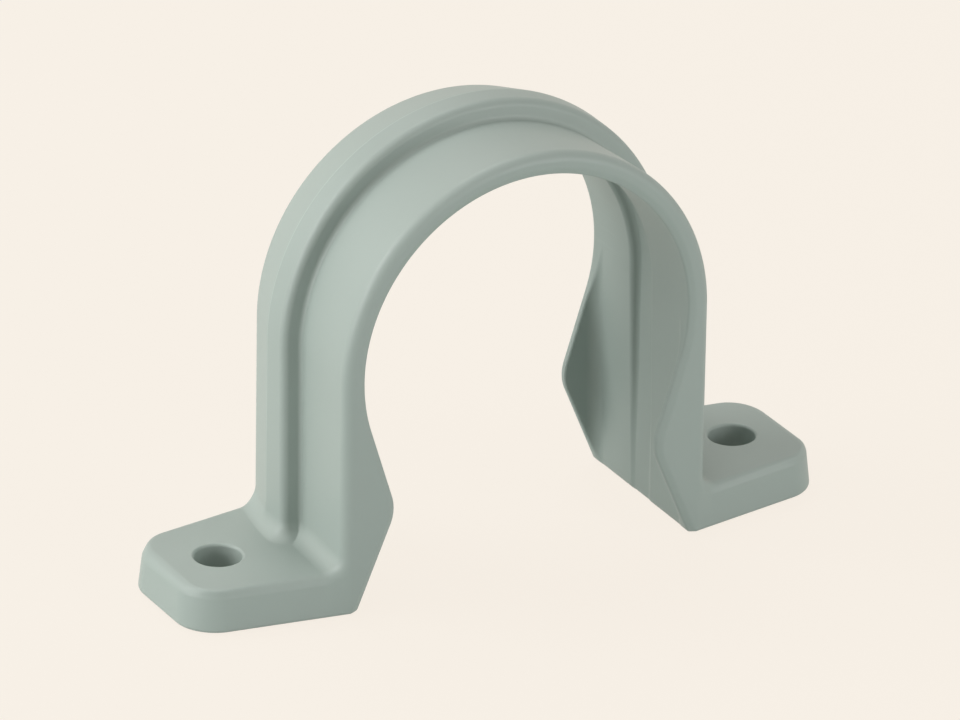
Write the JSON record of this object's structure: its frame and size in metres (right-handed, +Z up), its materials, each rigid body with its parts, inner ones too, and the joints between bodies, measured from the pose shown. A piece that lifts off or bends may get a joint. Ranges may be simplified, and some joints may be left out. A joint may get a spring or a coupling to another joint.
{
  "type": "pipe_saddle_clip",
  "caption": "One-piece grey plastic saddle clip for a 50 mm pipe: a ribbed half-round band with gripping lobes inside its legs and two tapered screw feet.",
  "frame": {"origin": "middle of the base plane, under the middle of the bore", "axes": "X runs along the feet, Y along the pipe with the front at -Y, Z up from the base plane"},
  "size_m": [0.0984, 0.027, 0.0641],
  "materials": {
    "grey_plastic": "satin"
  },
  "bodies": {
    "root": {"saddle_clip": "grey_plastic"}
  },
  "joints": []
}
